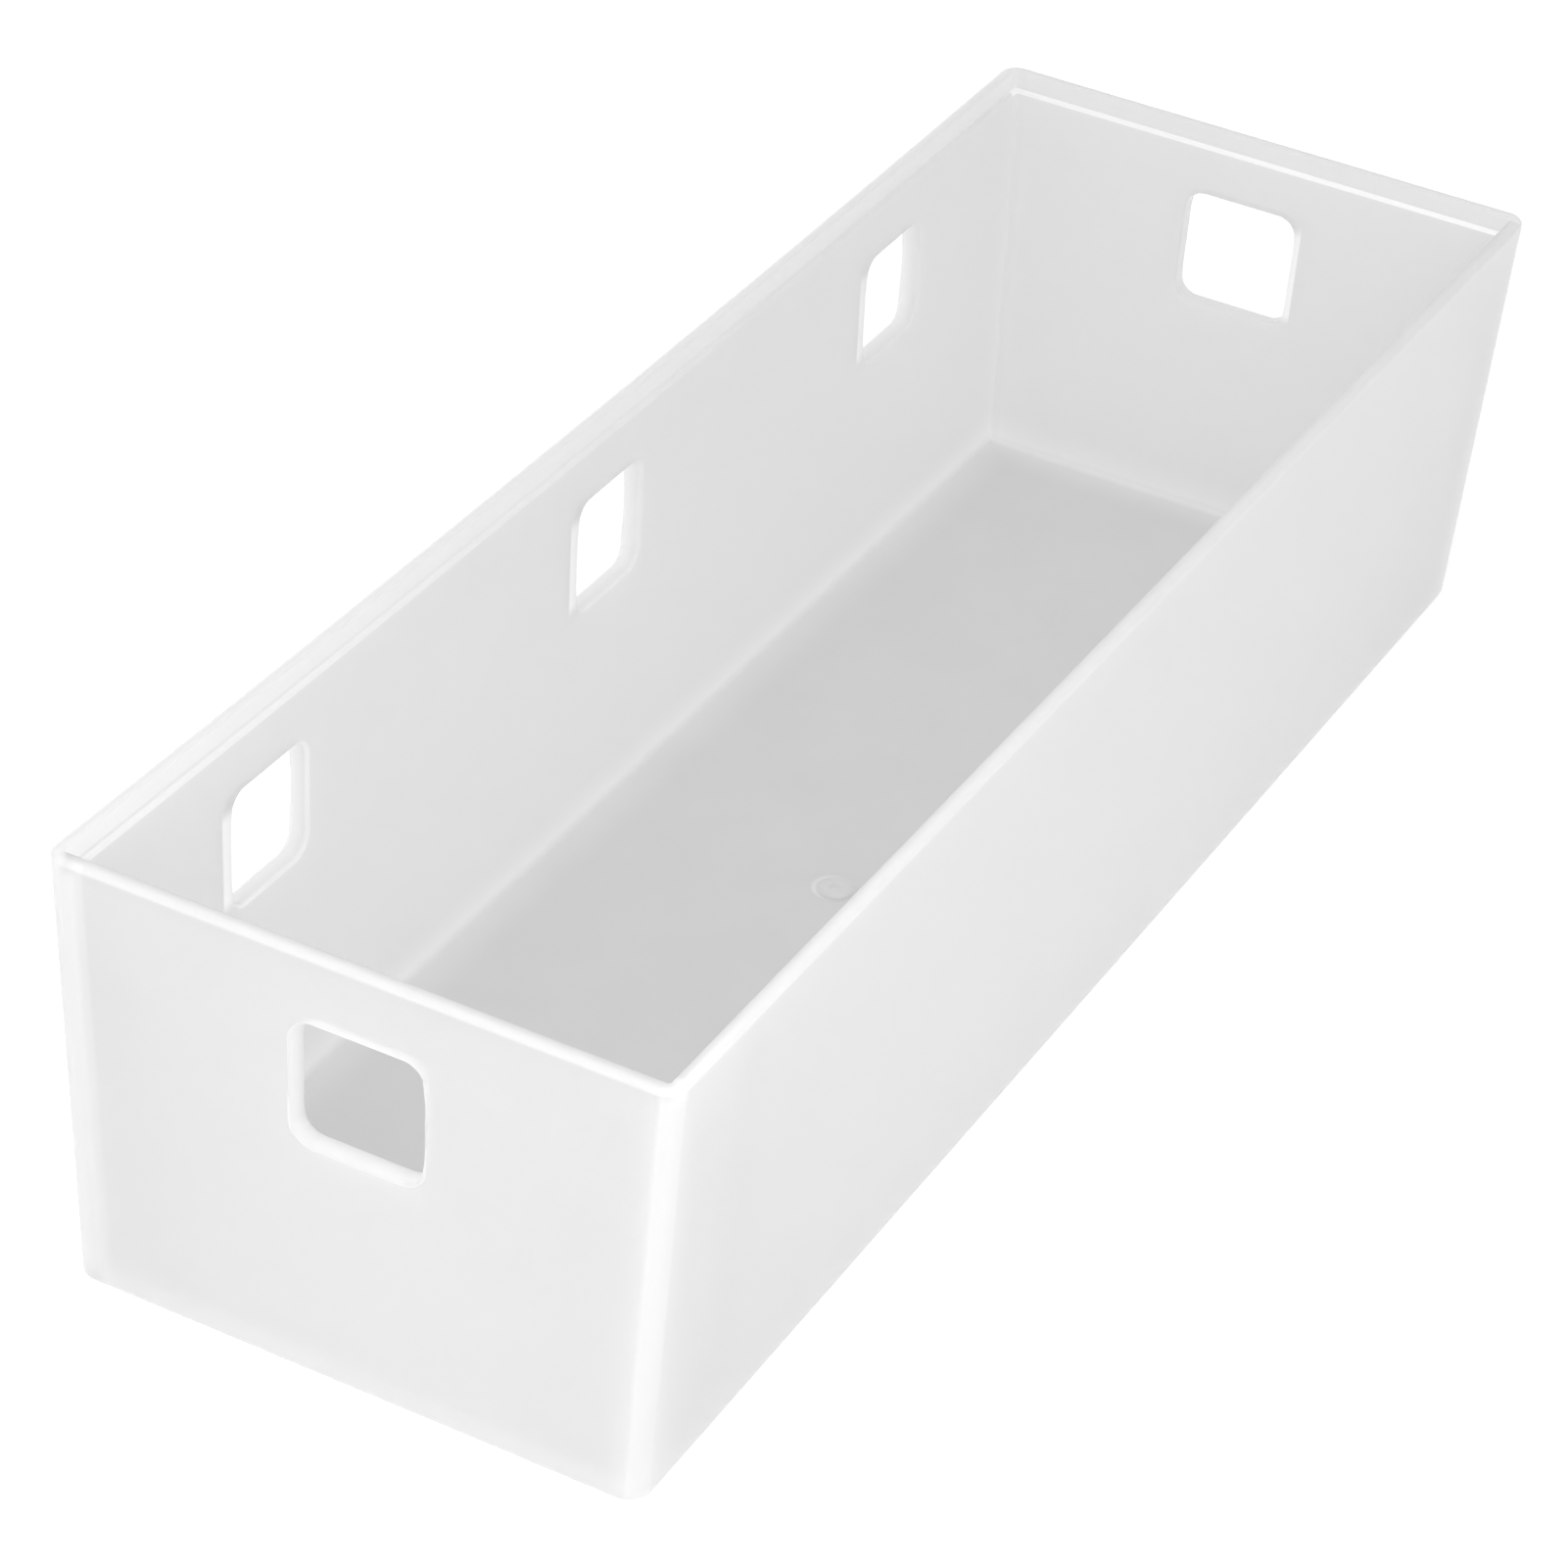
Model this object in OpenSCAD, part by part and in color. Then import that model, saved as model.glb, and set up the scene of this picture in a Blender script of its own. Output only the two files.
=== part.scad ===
// Open tray for sorting small things in a drawer, moulded in one piece from frosted plastic.
// The origin is the middle of the underside. X runs across the tray, Y along it and Z up.
// The long wall with the row of windows faces -X, and the plain long wall faces +X.

/* [Tray] */
// Width over the rim
rim_width = 100; // [80:1:160]
// Length over the rim
rim_length = 299; // [220:1:420]
// Height from the underside to the top of the rim
tray_height = 74.5; // [50:0.5:120]
// Lean of the walls from upright, in degrees, so that the moulding leaves its mould
draft = 2.3; // [0.5:0.1:5]
// Radius of the upright corners outside
corner_radius = 3.4; // [1.5:0.1:8]
// Radius of the upright corners inside
inner_corner_radius = 0.5; // [0.3:0.1:4]

/* [Walls and floor] */
// Thickness of the walls below the ledge
wall = 3.5; // [2:0.1:5]
// Thickness of the floor
floor_thickness = 1.5; // [1:0.1:6]
// Radius where the floor runs up into the walls
floor_fillet = 1; // [0.5:0.1:6]
// Radius of the edge round the underside
foot_radius = 0.8; // [0.3:0.1:1.4]

/* [Rim] */
// Width of the ledge inside the rim, where the foot of another tray can stand
ledge_width = 1.2; // [0.5:0.1:1.5]
// Depth of the ledge below the top of the rim
ledge_depth = 3; // [1:0.1:6]
// Rounding of the ledge's edge, where the wall below it begins
ledge_edge_radius = 0.7; // [0.2:0.1:1.2]
// Rounding of the rim's outer edge
rim_edge_radius = 1; // [0.2:0.1:1.4]
// Rounding of the rim's inner edge
lip_edge_radius = 0.3; // [0.1:0.1:0.8]

/* [Windows] */
// Width and height of the windows in the long wall
side_window = 20; // [10:0.5:28]
// Width and height of the window in each end wall
end_window = 21; // [10:0.5:28]
// Distance of each end window from the middle of its wall, to the right as seen from outside
end_window_shift = 1; // [0:0.5:8]
// Radius of the windows' corners
window_corner = 3.5; // [1:0.1:4.8]
// Depth of the windows' centres below the top of the rim
window_drop = 22.5; // [20:0.5:28]
// Number of windows in the long wall
side_window_count = 3; // [2:1:4]
// Distance from each end of the rim to the centre of the nearest window
side_window_inset = 51; // [30:1:70]
// Rounding of the windows' edges outside
window_edge_outside = 0.8; // [0.2:0.1:0.9]
// Rounding of the windows' edges inside
window_edge_inside = 0.4; // [0.2:0.1:0.9]

/* [Gate mark] */
// Diameter of the shallow dish under the floor, where the mould was filled
gate_dish = 6; // [3:0.5:12]
// Depth of the dish, at most half the floor
gate_depth = 0.6; // [0.2:0.1:1]
// Diameter of the stub left in the dish
gate_stub = 1.6; // [0.8:0.1:2.5]
// Gap between the end of the stub and the plane of the underside
gate_stub_gap = 0.2; // [0.1:0.1:0.5]

/* [Hidden] */

frosted_white = [0.93, 0.94, 0.95];
corner_steps = 8;
edge_steps = 4;
past = 2;
quadrants = [[1, 1], [-1, 1], [-1, -1], [1, -1]];

rim_wall = wall - ledge_width;
dish_depth = min(gate_depth, floor_thickness / 2);
ledge_z = tray_height - ledge_depth;
ledge_round = min(ledge_edge_radius, ledge_width);
rim_plan = [rim_width, rim_length];
lip_corner_radius = max(corner_radius - rim_wall, inner_corner_radius);
window_z = tray_height - window_drop;
window_pitch = (rim_length - 2 * side_window_inset) / (side_window_count - 1);
wall_square = wall * cos(draft);

// How far the outside of a wall stands in from the rim at height z
function lean(z) = (tray_height - z) * tan(draft);

// Quarter turn from flat to upright and back: each entry is [rise, run] for a radius of 1
upward_round = [for (i = [0:edge_steps]) let (a = 90 * (1 - i / edge_steps)) [1 - sin(a), 1 - cos(a)]];
downward_round = [for (i = [0:edge_steps]) let (a = 90 * i / edge_steps) [1 - sin(a), 1 - cos(a)]];

// Stations of a loft, each [height, inset from the plan, corner radius], from the lowest to the highest
outside_stations = concat(
    [for (s = upward_round)
        let (z = foot_radius * s[0], run = foot_radius * s[1])
        [z, lean(z) + run, corner_radius - run]],
    [for (s = downward_round)
        let (z = tray_height - rim_edge_radius * s[0], run = rim_edge_radius * s[1])
        [z, lean(z) + run, corner_radius - run]]);

inside_stations = concat(
    [for (s = upward_round)
        let (z = floor_thickness + floor_fillet * s[0], run = floor_fillet * s[1])
        [z, lean(z) + wall + run, inner_corner_radius]],
    [for (s = upward_round)
        let (z = ledge_z - ledge_round * s[1], run = ledge_round * s[0])
        [z, lean(z) + wall - run, inner_corner_radius + run]],
    [[tray_height, wall - ledge_round, inner_corner_radius + ledge_round]]);

lip_stations = concat(
    [[ledge_z, lean(ledge_z) + rim_wall, lip_corner_radius]],
    [for (s = upward_round)
        let (z = tray_height - lip_edge_radius * s[1], run = lip_edge_radius * s[0])
        [z, lean(z) + rim_wall - run, lip_corner_radius + run]],
    [[tray_height + past, rim_wall - lip_edge_radius, lip_corner_radius + lip_edge_radius]]);

// A window opens out at both faces of its wall. Its own height runs along the wall's outward normal.
function flared(z, run) = [z, -run, window_corner + run];
window_stations = concat(
    [flared(-wall_square - past, window_edge_inside)],
    [for (s = downward_round) flared(window_edge_inside * s[1] - wall_square, window_edge_inside * s[0])],
    [for (s = upward_round) flared(-window_edge_outside * s[1], window_edge_outside * s[0])],
    [flared(past, window_edge_outside)]);

// One level ring of points: a rectangle with round corners, counter-clockwise from above
function ring(plan, station) = [
    for (q = [0:3], i = [0:corner_steps])
        let (a = 90 * (q + i / corner_steps), r = station[2], in = station[1] + r)
        [quadrants[q][0] * (plan[0] / 2 - in) + r * cos(a),
         quadrants[q][1] * (plan[1] / 2 - in) + r * sin(a),
         station[0]]];

// Solid through a stack of rings
module loft(plan, stations) {
    n = 4 * (corner_steps + 1);
    top = n * (len(stations) - 1);
    points = [for (s = stations) each ring(plan, s)];
    sides = [
        for (low = [0:n:top - n], i = [0:n - 1])
            let (j = (i + 1) % n)
            [low + i, low + n + i, low + n + j, low + j]];
    lower_cap = [for (i = [0:n - 1]) i];
    upper_cap = [for (i = [0:n - 1]) top + n - 1 - i];
    polyhedron(points, concat([lower_cap], sides, [upper_cap]));
}

// Sets its children on the outside of a wall, at the height of the windows, facing out
module on_wall(turn, half_span, along) {
    rotate([0, 0, turn])
        translate([half_span - lean(window_z), along, window_z])
            rotate([0, 90 + draft, 0])
                children();
}

module side_windows() {
    for (i = [0:side_window_count - 1])
        on_wall(180, rim_width / 2, side_window_inset + i * window_pitch - rim_length / 2)
            loft([side_window, side_window], window_stations);
}

module end_windows() {
    for (turn = [-90, 90])
        on_wall(turn, rim_length / 2, end_window_shift)
            loft([end_window, end_window], window_stations);
}

module gate_mark() {
    difference() {
        translate([0, 0, -past])
            cylinder(d = gate_dish, h = past + dish_depth, $fn = 48);
        translate([0, 0, gate_stub_gap])
            cylinder(d = gate_stub, h = dish_depth, $fn = 24);
    }
}

module tray() {
    color(frosted_white)
        difference() {
            loft(rim_plan, outside_stations);
            loft(rim_plan, inside_stations);
            loft(rim_plan, lip_stations);
            side_windows();
            end_windows();
            gate_mark();
        }
}

tray();
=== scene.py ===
"""Drawer tray moulded in frosted plastic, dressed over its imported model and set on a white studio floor."""
import math

import bmesh
import bpy
from bpy.props import FloatProperty, FloatVectorProperty, IntProperty, PointerProperty
from mathutils import Matrix, Vector


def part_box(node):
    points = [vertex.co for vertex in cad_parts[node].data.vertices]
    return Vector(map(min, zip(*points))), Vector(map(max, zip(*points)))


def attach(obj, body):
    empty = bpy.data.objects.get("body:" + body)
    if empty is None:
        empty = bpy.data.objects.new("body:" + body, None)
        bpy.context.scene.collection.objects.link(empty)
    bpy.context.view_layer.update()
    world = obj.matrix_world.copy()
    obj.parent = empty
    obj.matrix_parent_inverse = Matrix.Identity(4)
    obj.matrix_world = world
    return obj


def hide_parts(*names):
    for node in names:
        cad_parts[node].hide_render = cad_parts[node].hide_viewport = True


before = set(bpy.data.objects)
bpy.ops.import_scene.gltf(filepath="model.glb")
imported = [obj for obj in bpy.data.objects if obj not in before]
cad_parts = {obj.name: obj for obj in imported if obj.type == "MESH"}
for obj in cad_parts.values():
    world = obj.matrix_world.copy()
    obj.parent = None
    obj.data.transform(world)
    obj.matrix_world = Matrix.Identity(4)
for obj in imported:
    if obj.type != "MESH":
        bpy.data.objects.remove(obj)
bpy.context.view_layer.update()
TRAY_LOW, TRAY_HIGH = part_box("tray")

bl_info = {
    "name": "Frosted drawer tray",
    "version": (1, 0, 0),
    "blender": (4, 5, 0),
    "location": "3D View > Sidebar > Drawer tray",
    "description": "Builds a moulded drawer tray in frosted plastic and sets it up in a studio",
    "category": "Add Mesh",
}

# Room for rounding errors when faces and edges are told apart by their place
NEAR = 2e-5
# Points this close to a cutting plane lie on it
ON_PLANE = 1e-7
# A hair's breadth: room round a window's edges, and softness of the finest masks
HAIR = 0.0002
# Edges shorter than this aren't corners of the sharp shell
SHORT = 0.001
# How much of a face's normal lies along an axis
NEARLY_ALL, MOSTLY, HALF, LITTLE = 0.99, 0.9, 0.5, 0.3
# Steps round each kind of rounded edge
CORNER_STEPS = 8
FILLET_STEPS = 6
RIM_STEPS = 6
LEDGE_STEPS = 5
FOOT_STEPS = 4
WINDOW_STEPS = 4
FINE_STEPS = 3
GATE_STEPS = 48

# Width of the camera's sensor, in millimetres
SENSOR = 36.0

# Places of a Mix node's colour sockets
MIX_AMOUNT, MIX_FIRST, MIX_SECOND, MIX_RESULT = 0, 6, 7, 2
# How far the light at the floor's edge reaches, and how fast the walls' painted light begins above the floor
FOOT_REACH = 0.008
FLOOR_FADE = 0.002
# Most that the painted light changes the walls' tone towards the foot
LOW_MOST = 0.85
# Share of the rim's glow in the windowed wall's recess and at the top of the front corner
RECESS_SHARE = 0.45
CORNER_SHARE = 0.3
# Share of the corners' painted light beside the front corner
BESIDE_SHARE = 0.7
# Share of the windows' glow on their inner edges, and its growth towards the front beside them
INNER_EDGE_SHARE = 0.6
JAMB_TO_FRONT = 0.25
# Growth of the ledge's glow towards the plain wall and the front, and its share halfway along
LEDGE_TO_PLAIN = 0.15
LEDGE_TO_FRONT = 0.45
LEDGE_MIDDLE = 0.2
# Share of the front strip's glow at the foot
STRIP_FOOT = 0.15


def length(name, description, default):
    """Property for a length in metres."""
    return FloatProperty(name=name, description=description, default=default, min=0.0,
                         precision=5, subtype="DISTANCE", unit="LENGTH")


def angle(name, description, degrees):
    """Property for an angle, given in degrees."""
    return FloatProperty(name=name, description=description, default=math.radians(degrees),
                         subtype="ANGLE", unit="ROTATION")


def share(name, description, default):
    """Property for a share between nothing and all."""
    return FloatProperty(name=name, description=description, default=default, min=0.0, max=1.0,
                         subtype="FACTOR")


def colour(name, description, default):
    """Property for a linear colour."""
    return FloatVectorProperty(name=name, description=description, default=default, size=3,
                               min=0.0, max=1.0, subtype="COLOR")


def place(name, description, default):
    """Property for a place in the scene, in metres."""
    return FloatVectorProperty(name=name, description=description, default=default, size=3,
                               precision=5, subtype="TRANSLATION", unit="LENGTH")


def power(name, description, default):
    """Property for a lamp's power in watts."""
    return FloatProperty(name=name, description=description, default=default, min=0.0,
                         subtype="POWER", unit="POWER")


def strength(name, description, default):
    """Property for how strongly something shines."""
    return FloatProperty(name=name, description=description, default=default, min=0.0, precision=3)


class TraySizes(bpy.types.PropertyGroup):
    """Sizes of the moulding."""

    width: length("Width", "Width over the rim at its widest", TRAY_HIGH.x - TRAY_LOW.x)
    length: length("Length", "Length over the rim at its widest", TRAY_HIGH.y - TRAY_LOW.y)
    height: length("Height", "Height from the underside to the rim", TRAY_HIGH.z - TRAY_LOW.z)
    draft: angle("Draft", "Lean of the walls from upright", 2.3)
    wall: length("Wall", "Thickness of the walls below the ledge", 0.0035)
    floor: length("Floor", "Thickness of the floor", 0.0015)
    rim_wall: length("Rim wall", "Thickness of the wall above the ledge", 0.0023)
    ledge_depth: length("Ledge depth", "Depth of the ledge below the rim", 0.003)
    corner: length("Outer corners", "Radius of the upright corners outside", 0.0034)
    inner_corner: length("Inner corners", "Radius of the upright corners inside", 0.0005)
    floor_fillet: length("Floor fillet", "Radius where the floor runs up into the walls", 0.001)
    foot_round: length("Foot edge", "Rounding of the edge round the underside", 0.0008)
    rim_round: length("Rim edge", "Rounding of the rim's outer edge", 0.001)
    lip_round: length("Lip edge", "Rounding of the rim's inner edge", 0.0003)
    ledge_round: length("Ledge edge", "Rounding of the ledge's edge", 0.0007)
    side_window: length("Side window", "Width and height of the windows in the long wall", 0.02)
    end_window: length("End window", "Width and height of the end walls' windows", 0.021)
    end_shift: length("End window shift", "Distance of each end window from its wall's middle, to the right "
                      "as seen from outside", 0.001)
    window_corner: length("Window corners", "Radius of the windows' corners", 0.0035)
    window_drop: length("Window depth", "Depth of the windows' centres below the rim", 0.0225)
    window_pitch: length("Window pitch", "Distance between the side windows' centres", 0.0985)
    window_round_out: length("Window edge outside", "Rounding of the windows' outer edges", 0.0008)
    window_round_in: length("Window edge inside", "Rounding of the windows' inner edges", 0.0004)
    gate_dish: length("Gate dish", "Radius of the shallow dish under the floor", 0.003)
    gate_depth: length("Gate depth", "Depth of the gate dish", 0.0006)
    gate_stub: length("Gate stub", "Radius of the stub in the gate dish", 0.0008)
    gate_gap: length("Gate stub gap", "Distance from the stub's end up to the underside's plane", 0.0002)
    bow: length("Bow", "How far the windowed wall's rim bows inwards at mid-length", 0.0012)
    bow_steps: IntProperty(name="Bow steps", description="Strips along the tray between two windows",
                           default=4, min=1, max=12)


class FrostedPlastic(bpy.types.PropertyGroup):
    """Looks of the frosted plastic."""

    clear_tone: colour("Clear tone", "Colour where the plastic is clearest", (0.655, 0.655, 0.655))
    milky_tone: colour("Milky tone", "Colour where the plastic is cloudiest", (0.675, 0.675, 0.675))
    cloud_scale: FloatProperty(name="Cloud scale", description="Clouds in a metre", default=60.0, min=0.0)
    # Painted light: a lighter base colour on thick edges, corners and round the front window, where light
    # gathers
    edge_painted_light: colour("Edge tone", "Colour of edges and thick corners, where light gathers", (0.9, 0.9, 0.9))
    # Painted light: a lighter base colour down the walls towards their foot
    foot_painted_light: colour("Foot tone", "Colour of the walls at their foot", (0.775, 0.775, 0.775))
    # Painted shade: a darker base colour on the corners at the windowed wall
    strip_painted_shade: colour("Strip tone", "Colour of the corners at the windowed wall", (0.63, 0.63, 0.63))
    # Painted light: each glow below makes the plastic give out light of its own, standing in for light
    # gathered at its edges and for the highlight along the ledge's edge
    rim_glow: share("Rim glow", "Light that the walls carry to the rim, most at the front", 0.15)
    ledge_glow: share("Ledge glow", "Light that the back wall carries to the ledge's edge", 0.19)
    jamb_glow: share("Jamb glow", "Light that the walls carry to the windows' edges", 0.2)
    strip_glow: share("Strip glow", "Light that the corner at the windowed wall carries to the front", 0.06)
    foot_glow: share("Foot glow", "Light that the walls carry to the floor's edge", 0.05)
    gate_glow: share("Gate glow", "Light through the thin spot over the gate dish", 0.11)
    gate_shift: length("Gate shift", "How far in front of the gate dish the lighter spot over it lies",
                       0.0008)
    corner_band: length("Corner band", "Width of the lighter band on each end wall at the plain wall",
                        0.0026)
    corner_wrap: length("Corner wrap", "Width of the lighter band round each corner", 0.0032)
    corner_reach: length("Corner reach", "How far the plain wall stays lighter beside its front corner",
                         0.025)
    strip_band: length("Strip band", "Width of the dimmer band on each end wall at the windowed wall",
                       0.0048)
    strip_edge: length("Strip edge", "Distance of the front strip's edge from the windowed wall", 0.0065)
    edge_band: length("Edge band", "Width of the lighter band round the front window", 0.0006)
    jamb_band: length("Jamb band", "Width of the lighter band inside the tray beside a side window", 0.0025)
    ledge_band: length("Ledge band", "Height of the lighter line along the ledge's edge", 0.0006)
    scatter: length("Scatter", "How far light spreads inside the plastic", 0.035)
    translucency: share("Translucency", "Share of the light that enters the plastic", 1.0)
    satin_low: share("Glossiest", "Roughness of the most polished patches", 0.34)
    satin_high: share("Dullest", "Roughness of the dullest patches", 0.44)
    grain_size: length("Grain size", "Size of the frosting's grain", 0.0004)
    grain_depth: length("Grain depth", "Depth of the frosting's grain", 0.00001)


class StudioSetup(bpy.types.PropertyGroup):
    """Camera, floor and lights."""

    camera_place: place("Camera", "Place of the camera", (0.30053, -0.64295, 0.4937))
    camera_azimuth: angle("Azimuth", "Camera's turn to the right of the front", 25.82429)
    camera_elevation: angle("Elevation", "Camera's height above the horizon", 33.69995)
    camera_roll: angle("Roll", "Camera's turn about its own view", 4.638)
    lens: FloatProperty(name="Lens", description="Focal length on a 36 mm sensor, in millimetres",
                        default=122.53, min=10.0)
    floor_size: length("Floor size", "Side of the studio floor", 6.0)
    floor_glow: strength("Floor glow", "Light from the floor itself", 0.284)
    floor_gap: length("Floor gap", "Gap between the tray's underside and the floor", 0.0003)
    floor_tone: colour("Floor tone", "Colour of the studio floor", (0.96, 0.96, 0.96))
    sky_top: strength("Top light", "Strength of the white surroundings overhead", 0.85)
    sky_front: strength("Front light", "Strength of the white surroundings in front", 0.5)
    sky_back: strength("Back light", "Strength of the white surroundings behind", 0.14)
    sky_left: strength("Left light", "Strength of the white surroundings on the left", 0.57)
    sky_right: strength("Right light", "Strength of the white surroundings on the right", 0.29)
    softbox_power: power("Softbox", "Power of the softbox at the front", 1.2)
    softbox_size: length("Softbox size", "Side of the softbox at the front", 0.5)
    softbox_place: place("Softbox place", "Place of the softbox at the front", (0.14, -0.37, 0.34))


def cut(bm, faces, point, normal):
    """Splits the given faces along a plane."""
    edges = dict.fromkeys(edge for face in faces for edge in face.edges)
    verts = dict.fromkeys(vert for face in faces for vert in face.verts)
    bmesh.ops.bisect_plane(bm, geom=[*verts, *edges, *faces], plane_co=point, plane_no=normal,
                           dist=ON_PLANE)


def round_over(bm, edges, radius, segments):
    """Rounds the given edges."""
    if not edges:
        raise RuntimeError("no edges to round")
    bmesh.ops.bevel(bm, geom=edges, offset=radius, offset_type="OFFSET", segments=segments,
                    profile=0.5, affect="EDGES", material=-1, clamp_overlap=False, loop_slide=True)


def draw_in(bm, verts, distance):
    """Moves a level ring of vertices inwards by the same distance on all four sides."""
    half_x = max(abs(vert.co.x) for vert in verts)
    half_y = max(abs(vert.co.y) for vert in verts)
    bmesh.ops.scale(bm, vec=(1 - distance / half_x, 1 - distance / half_y, 1), verts=verts)


def leaning_block(bm, width, depth, low, high, lean):
    """Adds a box that narrows downwards, and returns its faces."""
    verts = bmesh.ops.create_cube(bm, size=1.0)["verts"]
    bmesh.ops.scale(bm, vec=(width, depth, high - low), verts=verts)
    bmesh.ops.translate(bm, vec=(0, 0, (low + high) / 2), verts=verts)
    draw_in(bm, [vert for vert in verts if vert.co.z < (low + high) / 2], lean)
    return list(dict.fromkeys(face for vert in verts for face in vert.link_faces))


def is_level(face, height):
    """Whether a face lies level at a height."""
    return abs(face.normal.z) > NEARLY_ALL and abs(face.calc_center_median().z - height) < NEAR


def level_face(faces, height):
    """The level face at a height."""
    return next(face for face in faces if is_level(face, height))


def upright_edges(faces):
    """The edges of some faces that run from their foot to their top."""
    edges = dict.fromkeys(edge for face in faces for edge in face.edges)
    return [edge for edge in edges if abs(edge.verts[0].co.z - edge.verts[1].co.z) > SHORT]


def faces_out(face):
    """How far a standing face looks away from the tray's middle, from -1 to 1."""
    middle = face.calc_center_median()
    if abs(face.normal.x) > abs(face.normal.y):
        return face.normal.x * math.copysign(1, middle.x)
    return face.normal.y * math.copysign(1, middle.y)


def looks_outwards(face):
    """Whether a face stands and looks away from the tray's middle."""
    return abs(face.normal.z) < HALF and faces_out(face) > HALF


def looks_inwards(face):
    """Whether a face stands and looks towards the tray's middle."""
    return abs(face.normal.z) < HALF and faces_out(face) < -HALF


def seam(bm, one, other):
    """The edges where a face of one kind meets a face of the other kind."""
    found = []
    for edge in bm.edges:
        if len(edge.link_faces) == 2:
            a, b = edge.link_faces
            if (one(a) and other(b)) or (one(b) and other(a)):
                found.append(edge)
    return found


def open_shell(bm, size):
    """Outer block, rim and ledge, with a block-shaped hollow joined to the ledge."""
    tan = math.tan(size.draft)
    rim_width = size.width + 2 * size.rim_round * tan
    rim_length = size.length + 2 * size.rim_round * tan
    ledge = size.height - size.ledge_depth

    outer = leaning_block(bm, rim_width, rim_length, 0, size.height, size.height * tan)
    round_over(bm, upright_edges(outer), size.corner, CORNER_STEPS)
    bmesh.ops.delete(bm, geom=[level_face(bm.faces, size.height)], context="FACES_ONLY")
    inset = 2 * size.rim_wall
    recess = leaning_block(bm, rim_width - inset, rim_length - inset, ledge, size.height,
                           size.ledge_depth * tan)
    corners = upright_edges(recess)
    bmesh.ops.delete(bm, geom=[level_face(recess, size.height)], context="FACES_ONLY")
    round_over(bm, corners, size.inner_corner, CORNER_STEPS)
    lip = [vert for vert in bm.verts if vert.co.z > NEAR and not on_outside(vert.co, size)]
    join_level(bm, lip, size)
    bmesh.ops.delete(bm, geom=[level_face(bm.faces, ledge)], context="FACES_ONLY")

    inset = 2 * (size.wall + size.ledge_depth * tan)
    hollow = leaning_block(bm, rim_width - inset, rim_length - inset, size.floor, ledge,
                           (ledge - size.floor) * tan)
    floor_edges = list(level_face(hollow, size.floor).edges)
    bmesh.ops.delete(bm, geom=[level_face(hollow, ledge)], context="FACES_ONLY")
    round_over(bm, floor_edges, size.floor_fillet, FILLET_STEPS)
    round_over(bm, hollow_corners(bm, size), size.inner_corner, CORNER_STEPS)
    join_level(bm, [vert for vert in bm.verts if within_walls(vert.co, size)], size)
    bmesh.ops.recalc_face_normals(bm, faces=bm.faces)


def join_level(bm, verts, size):
    """Bridges the two open rings, which lie level, while the given vertices are held lower."""
    bmesh.ops.translate(bm, vec=(0, 0, -size.height), verts=verts)
    bmesh.ops.bridge_loops(bm, edges=[edge for edge in bm.edges if edge.is_boundary])
    bmesh.ops.translate(bm, vec=(0, 0, size.height), verts=verts)


def on_outside(point, size):
    """Whether a point of the sharp shell's rim belongs to its outside."""
    margin = size.rim_wall / 2
    return abs(point.x) > size.width / 2 - margin or abs(point.y) > size.length / 2 - margin


def within_walls(point, size):
    """Whether a point of the sharp shell belongs to the hollow."""
    margin = size.wall - NEAR
    return (abs(point.x) < size.width / 2 - margin and abs(point.y) < size.length / 2 - margin
            and point.z > NEAR)


def hollow_corners(bm, size):
    """The hollow's upright corner edges, down through the mitres of the floor's fillet."""
    def side(face):
        return abs(face.normal.x) > abs(face.normal.y)

    found = []
    for edge in bm.edges:
        if len(edge.link_faces) == 2 and all(within_walls(vert.co, size) for vert in edge.verts):
            a, b = edge.link_faces
            if side(a) != side(b) and max(abs(a.normal.z), abs(b.normal.z)) < NEARLY_ALL:
                found.append(edge)
    return found


class Window:
    """Place and size of a window: the axis across its wall, the wall's side, and the place along the wall."""

    def __init__(self, across, side, along, span, centre):
        self.across, self.side, self.along, self.half, self.centre = across, side, along, span / 2, centre

    def around(self, point, margin):
        """Whether a point on the window's wall lies within the opening and a margin."""
        run = point[1 - self.across]
        return (point[self.across] * self.side > 0 and abs(run - self.along) < self.half + margin
                and abs(point.z - self.centre) < self.half + margin)

    def on_wall(self, face):
        """Whether a face is part of the inside or outside of the window's wall, over the window's width."""
        middle = face.calc_center_median()
        return (abs(face.normal[self.across]) > MOSTLY and middle[self.across] * self.side > 0
                and abs(middle[1 - self.across] - self.along) < self.half)

    def depth(self, edge):
        """How far from the tray's middle an edge lies, across the window's wall."""
        return abs(edge.verts[0].co[self.across])

    def edges(self, bm):
        """The edges between the window's jambs and the faces of its wall."""
        def wall(face):
            return abs(face.normal[self.across]) > MOSTLY

        def jamb(face):
            return abs(face.normal[self.across]) < LITTLE

        bm.normal_update()
        return [edge for edge in seam(bm, wall, jamb)
                if all(self.around(vert.co, HAIR) for vert in edge.verts)]


def tray_windows(size):
    """Every window of the tray."""
    centre = size.height - size.window_drop
    side = [Window(0, -1, i * size.window_pitch, size.side_window, centre) for i in (-1, 0, 1)]
    ends = [Window(1, end, -end * size.end_shift, size.end_window, centre) for end in (-1, 1)]
    return side + ends


def last_line(size):
    """How far from the middle of the tray its mesh is last cut across."""
    return size.length / 2 - 3 * size.wall


def strip_lines(size):
    """Places along the tray where its mesh is cut across: the windows' edges and even steps between them."""
    half = size.side_window / 2
    end = last_line(size)
    stops = [-end]
    for i in (-1, 0, 1):
        stops += [i * size.window_pitch - half, i * size.window_pitch + half]
    stops.append(end)
    lines = list(stops)
    for low, high in zip(stops[::2], stops[1::2]):
        lines += [low + (high - low) * step / size.bow_steps for step in range(1, size.bow_steps)]
    return sorted(lines)


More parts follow.
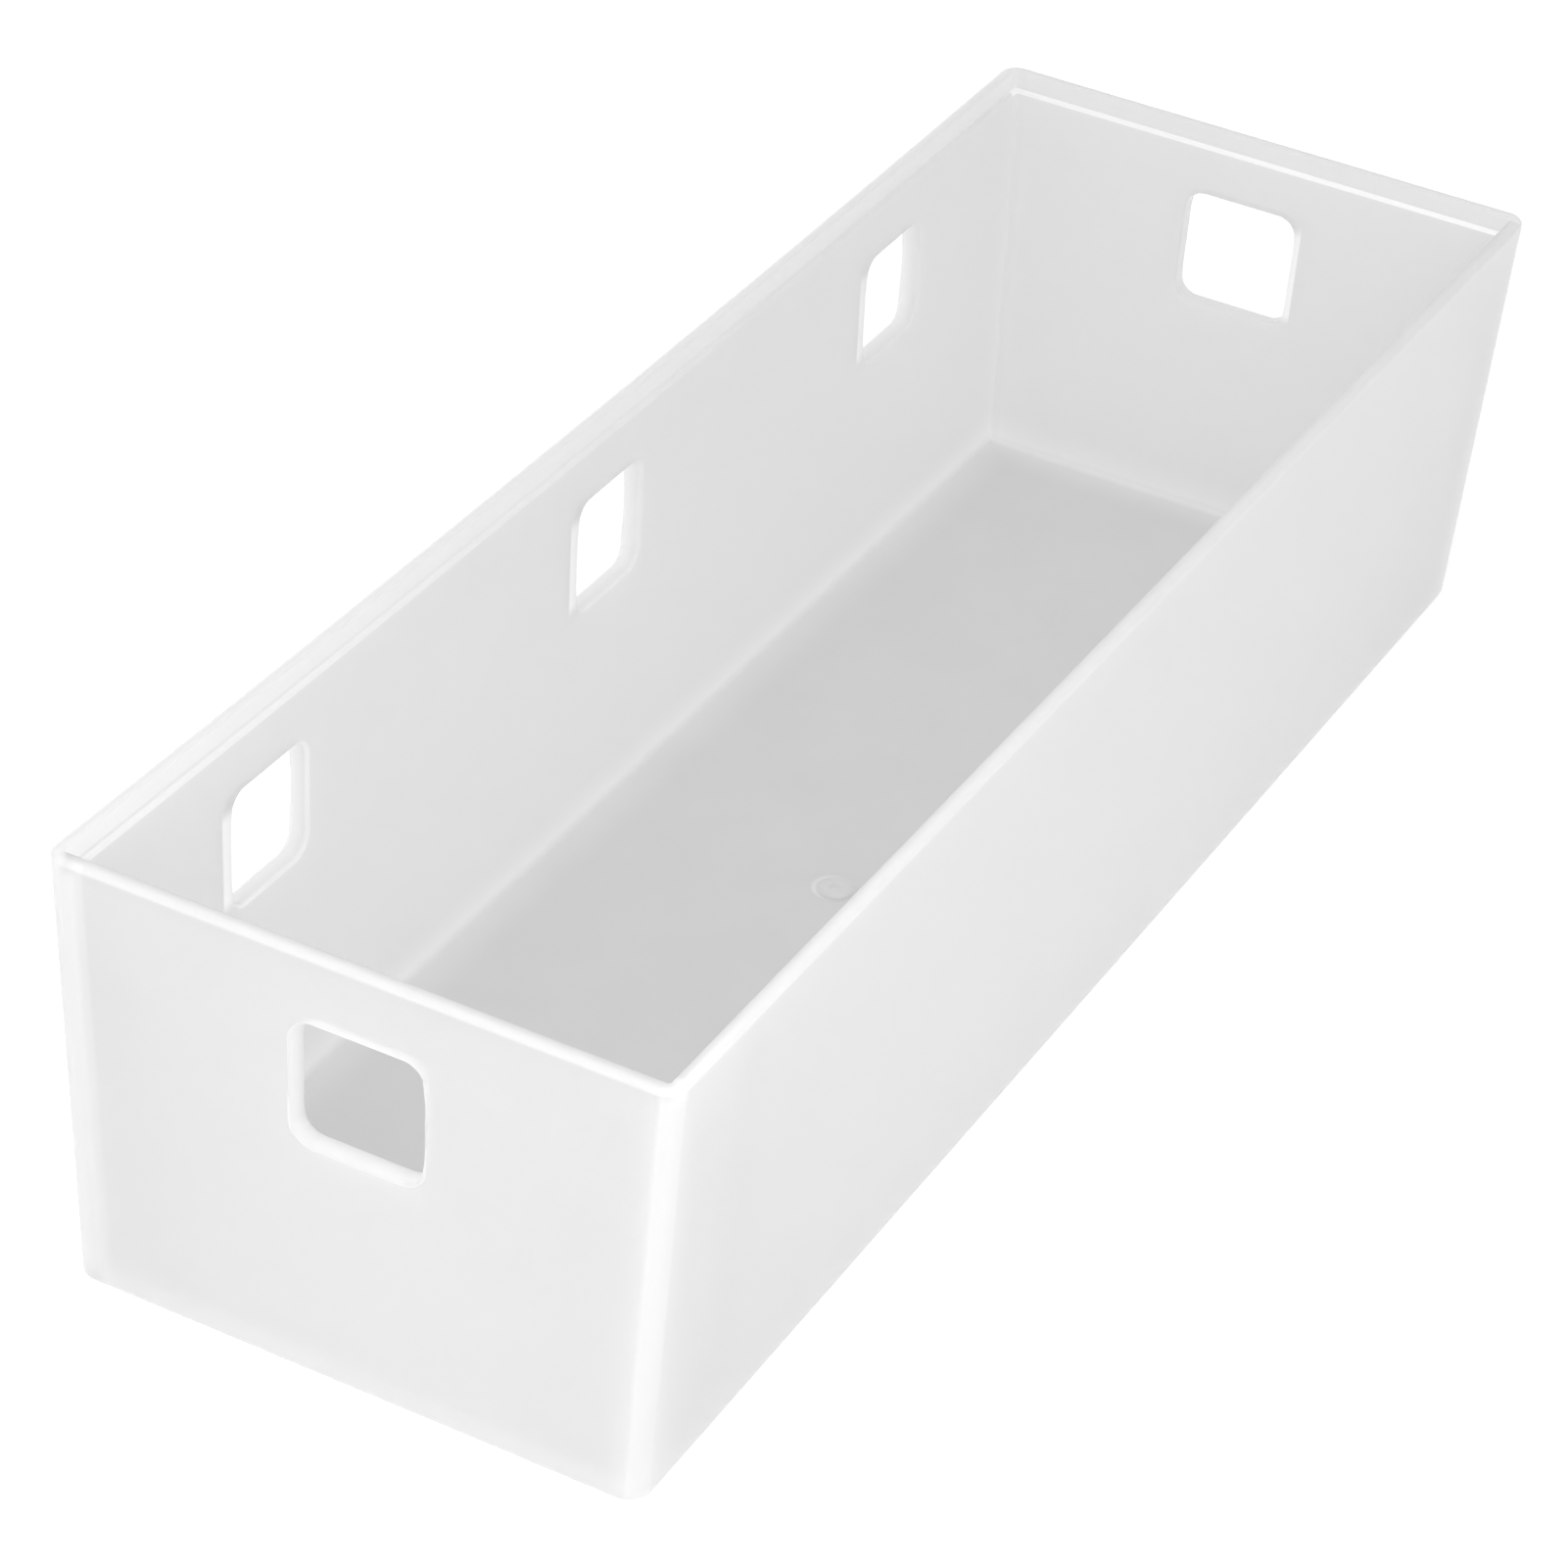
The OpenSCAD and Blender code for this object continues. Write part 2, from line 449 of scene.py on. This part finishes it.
def cut_window(bm, window, corner):
    """Cuts a window through both faces of its wall and rounds its corners."""
    for z in (window.centre - window.half, window.centre + window.half):
        cut(bm, [face for face in bm.faces if window.on_wall(face)], (0, 0, z), (0, 0, 1))
    panes = [face for face in bm.faces
             if window.on_wall(face) and abs(face.calc_center_median().z - window.centre) < window.half]
    bmesh.ops.delete(bm, geom=panes, context="FACES")
    jambs = bmesh.ops.bridge_loops(bm, edges=[edge for edge in bm.edges if edge.is_boundary])["faces"]
    corners = []
    for edge in dict.fromkeys(edge for face in jambs for edge in face.edges):
        start, end = (vert.co for vert in edge.verts)
        through = abs(start[window.across] - end[window.across]) > SHORT
        if through and abs(abs(start[1 - window.across] - window.along) - window.half) < SHORT:
            corners.append(edge)
    round_over(bm, corners, corner, CORNER_STEPS)


def round_edges(bm, size, windows):
    """Rounds the rim, the ledge, the foot and the windows' edges."""
    ledge = size.height - size.ledge_depth

    def top(face):
        return is_level(face, size.height)

    def step(face):
        return is_level(face, ledge)

    def foot(face):
        return is_level(face, 0)

    def below(face):
        return looks_inwards(face) and face.calc_center_median().z < ledge - SHORT

    round_over(bm, seam(bm, foot, looks_outwards), size.foot_round, FOOT_STEPS)
    round_over(bm, seam(bm, top, looks_outwards), size.rim_round, RIM_STEPS)
    round_over(bm, seam(bm, top, looks_inwards), size.lip_round, FINE_STEPS)
    round_over(bm, seam(bm, step, below), size.ledge_round, LEDGE_STEPS)
    for window in windows:
        edges = window.edges(bm)
        between = sum(window.depth(edge) for edge in edges) / len(edges)
        outer = [edge for edge in edges if window.depth(edge) > between]
        round_over(bm, outer, size.window_round_out, WINDOW_STEPS)
        inner = [edge for edge in window.edges(bm) if window.depth(edge) < between]
        round_over(bm, inner, size.window_round_in, FINE_STEPS)


def sink_gate(bm, size):
    """Sinks the shallow dish under the floor where the mould was filled, with the stub of the gate in it."""
    underside = [face for face in bm.faces if is_level(face, 0)]
    middle = min(underside, key=lambda face: face.calc_center_median().length)
    bmesh.ops.delete(bm, geom=[middle], context="FACES_ONLY")
    ring = bmesh.ops.create_circle(bm, cap_ends=True, segments=GATE_STEPS, radius=size.gate_dish)["verts"]
    dish = ring[0].link_faces[0]
    join_level(bm, ring, size)
    dish = bmesh.ops.extrude_discrete_faces(bm, faces=[dish])["faces"][0]
    bmesh.ops.translate(bm, vec=(0, 0, size.gate_depth), verts=dish.verts)
    bmesh.ops.inset_individual(bm, faces=[dish], thickness=size.gate_dish - size.gate_stub,
                               use_even_offset=True)
    stub = bmesh.ops.extrude_discrete_faces(bm, faces=[dish])["faces"][0]
    bmesh.ops.translate(bm, vec=(0, 0, size.gate_gap - size.gate_depth), verts=stub.verts)


def bow_wall(bm, size):
    """Bends the windowed wall inwards, most at the middle of its rim."""
    for vert in bm.verts:
        if vert.co.x < 0:
            along = 1 - (2 * vert.co.y / size.length) ** 2
            vert.co.x += size.bow * along * (vert.co.z / size.height) ** 2


def moulding_mesh(size):
    """The whole moulding as one closed mesh."""
    bm = bmesh.new()
    open_shell(bm, size)
    for y in strip_lines(size):
        cut(bm, bm.faces[:], (0, y, 0), (0, 1, 0))
    windows = tray_windows(size)
    for window in windows:
        if window.across == 1:
            for x in (window.along - window.half, window.along + window.half):
                beyond = [face for face in bm.faces
                          if face.calc_center_median().y * window.side > last_line(size)]
                cut(bm, beyond, (x, 0, 0), (1, 0, 0))
        cut_window(bm, window, size.window_corner)
    bmesh.ops.recalc_face_normals(bm, faces=bm.faces)
    round_edges(bm, size, windows)
    sink_gate(bm, size)
    bow_wall(bm, size)
    bmesh.ops.recalc_face_normals(bm, faces=bm.faces)
    for face in bm.faces:
        face.smooth = True
    mesh = bpy.data.meshes.new("tray_moulding")
    bm.to_mesh(mesh)
    bm.free()
    return mesh


def add(tree, kind, location, **inputs):
    """Adds a node and sets its inputs by name, with a space for each underscore."""
    made = tree.nodes.new(kind)
    made.location = location
    for name, value in inputs.items():
        made.inputs[name.replace("_", " ")].default_value = value
    return made


def colour_mix(tree, location, amount, first):
    """Adds a node that mixes a first colour with a second one, which is set or linked afterwards."""
    made = add(tree, "ShaderNodeMix", location)
    made.data_type = "RGBA"
    tree.links.new(amount, made.inputs[MIX_AMOUNT])
    tree.links.new(first, made.inputs[MIX_FIRST])
    return made


def cloudy_tone_group():
    """Node group: two tones mixed in soft clouds, and the clouds themselves as a mask."""
    group = bpy.data.node_groups.new("cloudy_tone", "ShaderNodeTree")
    socket = group.interface.new_socket
    socket("Vector", in_out="INPUT", socket_type="NodeSocketVector")
    socket("Scale", in_out="INPUT", socket_type="NodeSocketFloat")
    socket("Clear", in_out="INPUT", socket_type="NodeSocketColor")
    socket("Milky", in_out="INPUT", socket_type="NodeSocketColor")
    socket("Tone", in_out="OUTPUT", socket_type="NodeSocketColor")
    socket("Clouds", in_out="OUTPUT", socket_type="NodeSocketFloat")
    given = add(group, "NodeGroupInput", (-800, 0))
    result = add(group, "NodeGroupOutput", (400, 0))
    noise = add(group, "ShaderNodeTexNoise", (-600, 100), Detail=5.0, Roughness=0.55)
    spread = add(group, "ShaderNodeMapRange", (-350, 100), From_Min=0.3, From_Max=0.7)
    spread.interpolation_type = "SMOOTHSTEP"
    link = group.links.new
    link(given.outputs["Vector"], noise.inputs["Vector"])
    link(given.outputs["Scale"], noise.inputs["Scale"])
    link(noise.outputs["Fac"], spread.inputs["Value"])
    tone = colour_mix(group, (100, 0), spread.outputs["Result"], given.outputs["Clear"])
    link(given.outputs["Milky"], tone.inputs[MIX_SECOND])
    link(tone.outputs[MIX_RESULT], result.inputs["Tone"])
    link(spread.outputs["Result"], result.inputs["Clouds"])
    return group


def calc(tree, operation, *values):
    """Adds a maths node and returns its result. Each value is a number or another node's result."""
    made = tree.nodes.new("ShaderNodeMath")
    made.operation = operation
    for slot, value in zip(made.inputs, values):
        if isinstance(value, (int, float)):
            slot.default_value = value
        else:
            tree.links.new(value, slot)
    return made.outputs["Value"]


def product(tree, first, *others):
    """Multiplies some results."""
    for other in others:
        first = calc(tree, "MULTIPLY", first, other)
    return first


def most(tree, first, *others):
    """The largest of some results."""
    for other in others:
        first = calc(tree, "MAXIMUM", first, other)
    return first


def line(tree, value, slope, start):
    """Straight line over a value: its start where the value is 0, and its slope."""
    return calc(tree, "MULTIPLY_ADD", value, slope, start)


def diagonal(tree, one, other):
    """Length of a step that goes one way and the other way, square to each other."""
    squares = (calc(tree, "POWER", way, 2.0) for way in (one, other))
    return calc(tree, "SQRT", calc(tree, "ADD", *squares))


def fade(tree, value, start, end):
    """Mask that is 0 where a value is at its start and 1 where it reaches its end."""
    made = add(tree, "ShaderNodeMapRange", (0, 0), From_Min=start, From_Max=end)
    made.interpolation_type = "SMOOTHSTEP"
    tree.links.new(value, made.inputs["Value"])
    return made.outputs["Result"]


class TrayPlace:
    """Node results that say where on the tray a point of its surface is."""

    def __init__(self, tree, vector, size):
        split = add(tree, "ShaderNodeSeparateXYZ", (-600, 0))
        tree.links.new(vector, split.inputs["Vector"])
        self.x, self.y, self.z = (split.outputs[axis] for axis in "XYZ")
        lean = product(tree, calc(tree, "SUBTRACT", size.height, self.z), math.tan(size.draft))
        half_x = calc(tree, "SUBTRACT", size.width / 2, lean)
        half_y = calc(tree, "SUBTRACT", size.length / 2, lean)
        # From -1 at the windowed wall and the front to 1 at the plain wall and the back
        self.across = calc(tree, "DIVIDE", self.x, size.width / 2)
        self.along = calc(tree, "DIVIDE", self.y, size.length / 2)
        self.in_front = calc(tree, "LESS_THAN", self.y, 0.0)
        # From 0 at the back to 1 at the front, faster towards the front
        self.nearness = calc(tree, "POWER", line(tree, self.along, -0.5, 0.5), 1.5)
        # Depth below the outer face of the plain wall, of the bowed windowed wall and of the nearer end wall
        bow = product(tree, calc(tree, "SUBTRACT", 1.0, calc(tree, "POWER", self.along, 2.0)),
                      calc(tree, "POWER", calc(tree, "DIVIDE", self.z, size.height), 2.0))
        self.from_plain = calc(tree, "SUBTRACT", half_x, self.x)
        self.from_windowed = line(tree, bow, -size.bow, calc(tree, "ADD", half_x, self.x))
        self.from_end = calc(tree, "SUBTRACT", half_y, calc(tree, "ABSOLUTE", self.y))
        # The least of the three depths
        self.inset = calc(tree, "MINIMUM", self.from_end,
                          calc(tree, "MINIMUM", self.from_plain, self.from_windowed))


# In the masks below, a number times one of the tray's sizes says where a mask begins or ends


def corner_mask(tree, at, side, band, wrap):
    """Mask of the thick upright corners at one of the long walls: it carries painted light at the plain wall
    and painted shade at the windowed wall.
    """
    return product(tree, fade(tree, side, 1.2 * band, 0.8 * band),
                   fade(tree, at.from_end, 1.3 * wrap, 0.8 * wrap))


def painted_foot_light_mask(tree, at, size):
    """Mask of the painted light that grows down the walls, inside and outside, and leaves out the floor."""
    wall = most(tree, fade(tree, at.inset, 0.8 * size.wall, 0.6 * size.wall),
                fade(tree, at.z, size.floor, size.floor + FLOOR_FADE))
    down = calc(tree, "MINIMUM", line(tree, at.z, -1 / size.height, 1.0), LOW_MOST)
    return product(tree, wall, down)


def window_mask(tree, run, rise, half, corner, band):
    """Mask of a window's edge, from the place along and up its wall."""
    over = [most(tree, calc(tree, "SUBTRACT", calc(tree, "ABSOLUTE", way), half - corner), 0.0)
            for way in (run, rise)]
    return fade(tree, diagonal(tree, *over), corner + 1.2 * band, corner + 0.8 * band)


def jamb_mask(tree, run, rise, half, corner, band, depth, wall):
    """Mask of the band on a wall's inner face beside one upright edge of a window."""
    return product(tree, fade(tree, run, half - band, half),
                   fade(tree, run, half + 1.15 * band, half + 0.85 * band),
                   fade(tree, calc(tree, "ABSOLUTE", rise), half - 0.2 * corner, half - corner),
                   fade(tree, depth, 0.7 * wall, 0.8 * wall))


def ledge_mask(tree, at, size, look):
    """Mask of the ledge's rounded edge, strongest at the back and fading backwards along the long walls."""
    ledge = size.height - size.ledge_depth
    band = product(tree, fade(tree, at.z, ledge - 1.2 * look.ledge_band, ledge - 0.7 * look.ledge_band),
                   fade(tree, at.z, ledge + 1.5 * HAIR, ledge + HAIR))
    inner = fade(tree, at.inset, size.rim_wall + HAIR, size.rim_wall + 2.5 * HAIR)
    back = product(tree, fade(tree, at.from_end, 1.6 * size.wall, 1.4 * size.wall),
                   calc(tree, "GREATER_THAN", at.y, 0.0),
                   line(tree, at.across, LEDGE_TO_PLAIN, 1.0 - LEDGE_TO_PLAIN))
    long = most(tree, line(tree, at.along, -LEDGE_TO_FRONT, LEDGE_MIDDLE), 0.0)
    return product(tree, band, inner, most(tree, back, long))


def rim_mask(tree, at, size, corners):
    """Mask of the rim, all along the front and fading backwards along the long walls.

    It reaches into the recess of the windowed wall, and down the front corner at the plain wall.
    """
    top, ledge = size.height, size.height - size.ledge_depth
    front = product(tree, fade(tree, at.from_end, 1.3 * size.wall, 1.1 * size.wall), at.in_front,
                    fade(tree, at.from_windowed, 0.3 * size.wall, 2 * size.wall))
    plain = product(tree, fade(tree, at.from_plain, size.wall, 0.2 * size.rim_wall), at.nearness)
    rim = product(tree, fade(tree, at.z, top - 1.2 * size.rim_round, top - 0.6 * size.rim_round),
                  most(tree, front, plain))
    recess = product(tree, fade(tree, at.from_windowed, 0.5 * size.rim_wall, size.rim_wall),
                     fade(tree, at.from_windowed, size.wall, 0.8 * size.wall),
                     fade(tree, at.z, ledge, ledge + 1.5 * HAIR),
                     fade(tree, at.from_end, 0.2 * size.wall, 0.6 * size.wall),
                     calc(tree, "POWER", at.nearness, 2.0), RECESS_SHARE)
    corner = product(tree, corners, at.in_front,
                     fade(tree, at.z, top - 4 * size.rim_round, top - size.rim_round), CORNER_SHARE)
    return most(tree, rim, recess, corner)


def strip_mask(tree, at, size, edge):
    """Mask of the strip on the front wall beside the windowed wall, fading down the wall."""
    return product(tree, fade(tree, at.from_windowed, 0.4 * edge, 0.8 * edge),
                   fade(tree, at.from_windowed, 1.1 * edge, 0.95 * edge),
                   line(tree, at.z, (1.0 - STRIP_FOOT) / size.height, STRIP_FOOT),
                   fade(tree, at.from_end, 0.3 * size.wall, 0.1 * size.wall), at.in_front)


def foot_mask(tree, at, size):
    """Mask of the floor's edge inside the tray, along the foot of the walls."""
    return product(tree, fade(tree, at.inset, size.wall + FOOT_REACH, size.wall),
                   fade(tree, at.z, 0.6 * size.floor, 0.9 * size.floor),
                   fade(tree, at.z, size.floor + FOOT_REACH, size.floor),
                   fade(tree, at.inset, 0.8 * size.wall, 0.9 * size.wall))


def gate_mask(tree, at, size, shift):
    """Mask of the thin round spot in the floor over the gate dish."""
    apart = diagonal(tree, at.x, calc(tree, "ADD", at.y, shift))
    return product(tree, fade(tree, apart, 1.3 * size.gate_dish, size.gate_dish),
                   fade(tree, at.z, 0.8 * size.floor, 0.9 * size.floor))


def side_window_mask(tree, at, size, look, rise):
    """Mask of the side windows' edges inside the tray, and of the band beside each window's front edge."""
    half = size.side_window / 2
    count = calc(tree, "ROUND", calc(tree, "DIVIDE", at.y, size.window_pitch))
    run = calc(tree, "SUBTRACT", at.y, product(tree, count, size.window_pitch))
    edge = product(tree, fade(tree, at.from_windowed, 0.75 * size.wall, 0.9 * size.wall),
                   window_mask(tree, run, rise, half, size.window_corner, size.window_round_in),
                   at.nearness, INNER_EDGE_SHARE)
    beside = product(tree, jamb_mask(tree, product(tree, run, -1.0), rise, half, size.window_corner,
                                     look.jamb_band, at.from_windowed, size.wall),
                     line(tree, at.along, -JAMB_TO_FRONT, 1.0))
    return product(tree, calc(tree, "LESS_THAN", at.from_windowed, 2 * size.wall), most(tree, edge, beside))


def end_window_masks(tree, at, size, look, rise):
    """Mask of the front window's edge, and mask of its inner part and the band beside both end windows."""
    half = size.end_window / 2
    run = calc(tree, "ADD", at.x, product(tree, calc(tree, "SIGN", at.y), size.end_shift))
    on_end = calc(tree, "LESS_THAN", at.from_end, 2 * size.wall)
    edge = product(tree, on_end, at.in_front,
                   window_mask(tree, run, rise, half, size.window_corner, look.edge_band))
    deep = product(tree, edge, fade(tree, at.from_end, -0.2 * size.wall, 0.9 * size.wall))
    beside = product(tree, on_end, jamb_mask(tree, run, rise, half, size.window_corner, look.jamb_band / 2,
                                             at.from_end, size.wall))
    return edge, most(tree, deep, beside)


def painted_light_and_shade_group(size, look):
    """Node group: where light and shade are painted on the plastic, from Object coordinates.

    Edges, Strips and Low are masks of painted light on thick edges, of painted shade on the corners at the
    windowed wall and of painted light on the walls' lower part. Glow is painted light: the light that the
    walls carry to their edges, given out by the plastic itself.
    """
    group = bpy.data.node_groups.new("painted_light_and_shade", "ShaderNodeTree")
    socket = group.interface.new_socket
    socket("Vector", in_out="INPUT", socket_type="NodeSocketVector")
    for name in ("Edges", "Strips", "Low", "Glow"):
        socket(name, in_out="OUTPUT", socket_type="NodeSocketFloat")
    given = add(group, "NodeGroupInput", (-800, 0))
    result = add(group, "NodeGroupOutput", (400, 0))
    at = TrayPlace(group, given.outputs["Vector"], size)

    rise = calc(group, "SUBTRACT", at.z, size.height - size.window_drop)
    front_edge, ends = end_window_masks(group, at, size, look, rise)
    corners = corner_mask(group, at, at.from_plain, look.corner_band, look.corner_wrap)
    beside = product(group, fade(group, at.from_plain, 0.5 * size.wall, 0.2 * size.wall),
                     fade(group, at.from_end, look.corner_reach, look.corner_wrap), at.nearness, BESIDE_SHARE)
    glow = 0.0
    for mask, level in ((most(group, side_window_mask(group, at, size, look, rise), ends), look.jamb_glow),
                        (rim_mask(group, at, size, corners), look.rim_glow),
                        (strip_mask(group, at, size, look.strip_edge), look.strip_glow),
                        (ledge_mask(group, at, size, look), look.ledge_glow),
                        (foot_mask(group, at, size), look.foot_glow),
                        (gate_mask(group, at, size, look.gate_shift), look.gate_glow)):
        glow = line(group, mask, level, glow)
    strips = corner_mask(group, at, at.from_windowed, look.strip_band, look.corner_wrap)
    for name, mask in (("Edges", most(group, front_edge, corners, beside)), ("Strips", strips),
                       ("Low", painted_foot_light_mask(group, at, size)), ("Glow", glow)):
        group.links.new(mask, result.inputs[name])
    return group


def place_group(tree, group, location, **inputs):
    """Adds a node group to a material and sets its inputs."""
    made = tree.nodes.new("ShaderNodeGroup")
    made.node_tree = group
    made.location = location
    for name, value in inputs.items():
        made.inputs[name].default_value = value
    return made


def frosted_plastic(look, clouds_group, light_group):
    """Material of the moulding: milky plastic that lets light in, with a finely frosted surface, and with
    light and shade painted into its colour and its glow.
    """
    material = bpy.data.materials.new("frosted_plastic")
    material.use_nodes = True
    tree = material.node_tree
    tree.nodes.clear()
    link = tree.links.new
    output = add(tree, "ShaderNodeOutputMaterial", (900, 0))
    shader = add(tree, "ShaderNodeBsdfPrincipled", (600, 0), IOR=1.49, Subsurface_Weight=look.translucency,
                 Subsurface_Radius=(1.0, 1.0, 1.0), Subsurface_Scale=look.scatter,
                 Emission_Strength=1.0, Specular_IOR_Level=0.3)
    shader.subsurface_method = "RANDOM_WALK"
    link(shader.outputs["BSDF"], output.inputs["Surface"])
    where = add(tree, "ShaderNodeTexCoord", (-900, 0)).outputs["Object"]

    clouds = place_group(tree, clouds_group, (-500, 300), Scale=look.cloud_scale,
                         Clear=(*look.clear_tone, 1.0), Milky=(*look.milky_tone, 1.0))
    link(where, clouds.inputs["Vector"])
    light = place_group(tree, light_group, (-500, 600))
    link(where, light.inputs["Vector"])
    tone = clouds.outputs["Tone"]
    # Painted light and shade: the base colour turns lighter down the walls towards their foot and on thick
    # edges, corners and round the front window, and darker on the corners at the windowed wall
    for step, (mask, second) in enumerate((("Low", look.foot_painted_light), ("Strips", look.strip_painted_shade),
                                           ("Edges", look.edge_painted_light))):
        mix = colour_mix(tree, (-200 + 200 * step, 300), light.outputs[mask], tone)
        mix.inputs[MIX_SECOND].default_value = (*second, 1.0)
        tone = mix.outputs[MIX_RESULT]
    link(tone, shader.inputs["Base Color"])
    # Painted light: the plastic gives out light of its own at its edges, rim, ledge, floor's edge and over
    # the gate dish
    link(light.outputs["Glow"], shader.inputs["Emission Color"])

    satin = add(tree, "ShaderNodeMapRange", (-100, 0), To_Min=look.satin_low, To_Max=look.satin_high)
    link(clouds.outputs["Clouds"], satin.inputs["Value"])
    link(satin.outputs["Result"], shader.inputs["Roughness"])

    grain = add(tree, "ShaderNodeTexNoise", (-500, -300), Scale=1 / look.grain_size, Detail=2.0)
    link(where, grain.inputs["Vector"])
    frosting = add(tree, "ShaderNodeBump", (200, -300), Strength=1.0, Distance=look.grain_depth)
    link(grain.outputs["Fac"], frosting.inputs["Height"])
    link(frosting.outputs["Normal"], shader.inputs["Normal"])
    return material


class TRAY_OT_moulding(bpy.types.Operator):
    """Builds the tray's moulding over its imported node."""

    bl_idname = "tray.moulding"
    bl_label = "Build the moulding"

    def execute(self, context):
        mesh = moulding_mesh(context.scene.tray_sizes)
        piece = bpy.data.objects.new("tray_moulding", mesh)
        context.scene.collection.objects.link(piece)
        normals = piece.modifiers.new("flat faces", "WEIGHTED_NORMAL")
        normals.keep_sharp = False
        look = context.scene.tray_plastic
        gathered = painted_light_and_shade_group(context.scene.tray_sizes, look)
        mesh.materials.append(frosted_plastic(look, cloudy_tone_group(), gathered))
        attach(piece, "root")
        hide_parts("tray")
        return {"FINISHED"}


def studio_floor(setup):
    """The plain studio floor, which shines a little itself."""
    bm = bmesh.new()
    bmesh.ops.create_grid(bm, x_segments=1, y_segments=1, size=setup.floor_size / 2)
    bmesh.ops.translate(bm, vec=(0, 0, -setup.floor_gap), verts=bm.verts)
    mesh = bpy.data.meshes.new("studio_floor")
    bm.to_mesh(mesh)
    bm.free()
    paper = bpy.data.materials.new("studio_floor")
    paper.use_nodes = True
    inputs = paper.node_tree.nodes["Principled BSDF"].inputs
    inputs["Base Color"].default_value = (*setup.floor_tone, 1.0)
    inputs["Roughness"].default_value = 0.9
    inputs["Emission Color"].default_value = (1.0, 1.0, 1.0, 1.0)
    inputs["Emission Strength"].default_value = setup.floor_glow
    mesh.materials.append(paper)
    return bpy.data.objects.new("studio_floor", mesh)


def white_surroundings(setup):
    """White surroundings with their own strength overhead and on each side."""
    world = bpy.data.worlds.new("white_surroundings")
    world.use_nodes = True
    tree = world.node_tree
    background = tree.nodes["Background"]
    background.inputs["Color"].default_value = (1.0, 1.0, 1.0, 1.0)
    direction = add(tree, "ShaderNodeTexCoord", (-900, 0))
    split = add(tree, "ShaderNodeSeparateXYZ", (-700, 0))
    tree.links.new(direction.outputs["Generated"], split.inputs["Vector"])
    x, y, z = (split.outputs[axis] for axis in "XYZ")
    shine = product(tree, most(tree, z, 0.0), setup.sky_top)
    for way, sign, side in ((x, 1.0, setup.sky_right), (x, -1.0, setup.sky_left),
                            (y, 1.0, setup.sky_back), (y, -1.0, setup.sky_front)):
        facing = most(tree, product(tree, way, sign), 0.0)
        shine = line(tree, calc(tree, "POWER", facing, 2.0), side, shine)
    tree.links.new(shine, background.inputs["Strength"])
    return world


def softbox(setup):
    """The square softbox at the front, which faces the tray and isn't seen itself."""
    lamp = bpy.data.lights.new("softbox", "AREA")
    lamp.shape = "SQUARE"
    lamp.size = setup.softbox_size
    lamp.energy = setup.softbox_power
    made = bpy.data.objects.new("softbox", lamp)
    made.visible_camera = False
    made.location = setup.softbox_place
    made.rotation_mode = "QUATERNION"
    made.rotation_quaternion = (-Vector(setup.softbox_place)).to_track_quat("-Z", "Y")
    return made


def studio_camera(setup):
    """The camera at the photograph's view."""
    view = bpy.data.cameras.new("camera")
    view.lens = setup.lens
    view.sensor_width = SENSOR
    view.clip_start = 0.01
    camera = bpy.data.objects.new("camera", view)
    level = math.cos(setup.camera_elevation)
    towards = -Vector((math.sin(setup.camera_azimuth) * level, -math.cos(setup.camera_azimuth) * level,
                       math.sin(setup.camera_elevation)))
    turn = towards.to_track_quat("-Z", "Y").to_matrix()
    roll = Matrix.Rotation(setup.camera_roll, 3, "Z")
    camera.matrix_world = Matrix.Translation(setup.camera_place) @ (turn @ roll).to_4x4()
    return camera


class TRAY_OT_stage(bpy.types.Operator):
    """Lays the studio floor, lights it and sets up the camera."""

    bl_idname = "tray.stage"
    bl_label = "Set the stage"

    def execute(self, context):
        scene = context.scene
        setup = scene.tray_studio
        floor = studio_floor(setup)
        scene.collection.objects.link(floor)
        scene.world = white_surroundings(setup)
        scene.view_settings.view_transform = "Standard"
        scene.collection.objects.link(softbox(setup))
        scene.camera = studio_camera(setup)
        scene.collection.objects.link(scene.camera)
        return {"FINISHED"}


class TRAY_PT_sidebar(bpy.types.Panel):
    """Lists the tray's steps and settings."""

    bl_idname = "TRAY_PT_sidebar"
    bl_label = "Drawer tray"
    bl_space_type = "VIEW_3D"
    bl_region_type = "UI"
    bl_category = "Drawer tray"

    def draw(self, context):
        layout = self.layout
        scene = context.scene
        for step in (TRAY_OT_moulding, TRAY_OT_stage):
            layout.operator(step.bl_idname)
        for title, settings in (("Sizes", scene.tray_sizes), ("Plastic", scene.tray_plastic),
                                ("Studio", scene.tray_studio)):
            box = layout.box()
            box.label(text=title)
            for name in settings.__annotations__:
                box.prop(settings, name)


CLASSES = (TraySizes, FrostedPlastic, StudioSetup, TRAY_OT_moulding, TRAY_OT_stage, TRAY_PT_sidebar)


def register():
    for cls in CLASSES:
        bpy.utils.register_class(cls)
    bpy.types.Scene.tray_sizes = PointerProperty(type=TraySizes)
    bpy.types.Scene.tray_plastic = PointerProperty(type=FrostedPlastic)
    bpy.types.Scene.tray_studio = PointerProperty(type=StudioSetup)


def unregister():
    del bpy.types.Scene.tray_studio
    del bpy.types.Scene.tray_plastic
    del bpy.types.Scene.tray_sizes
    for cls in reversed(CLASSES):
        bpy.utils.unregister_class(cls)


def main():
    register()
    bpy.ops.tray.moulding()
    bpy.ops.tray.stage()


if __name__ == "__main__":
    main()
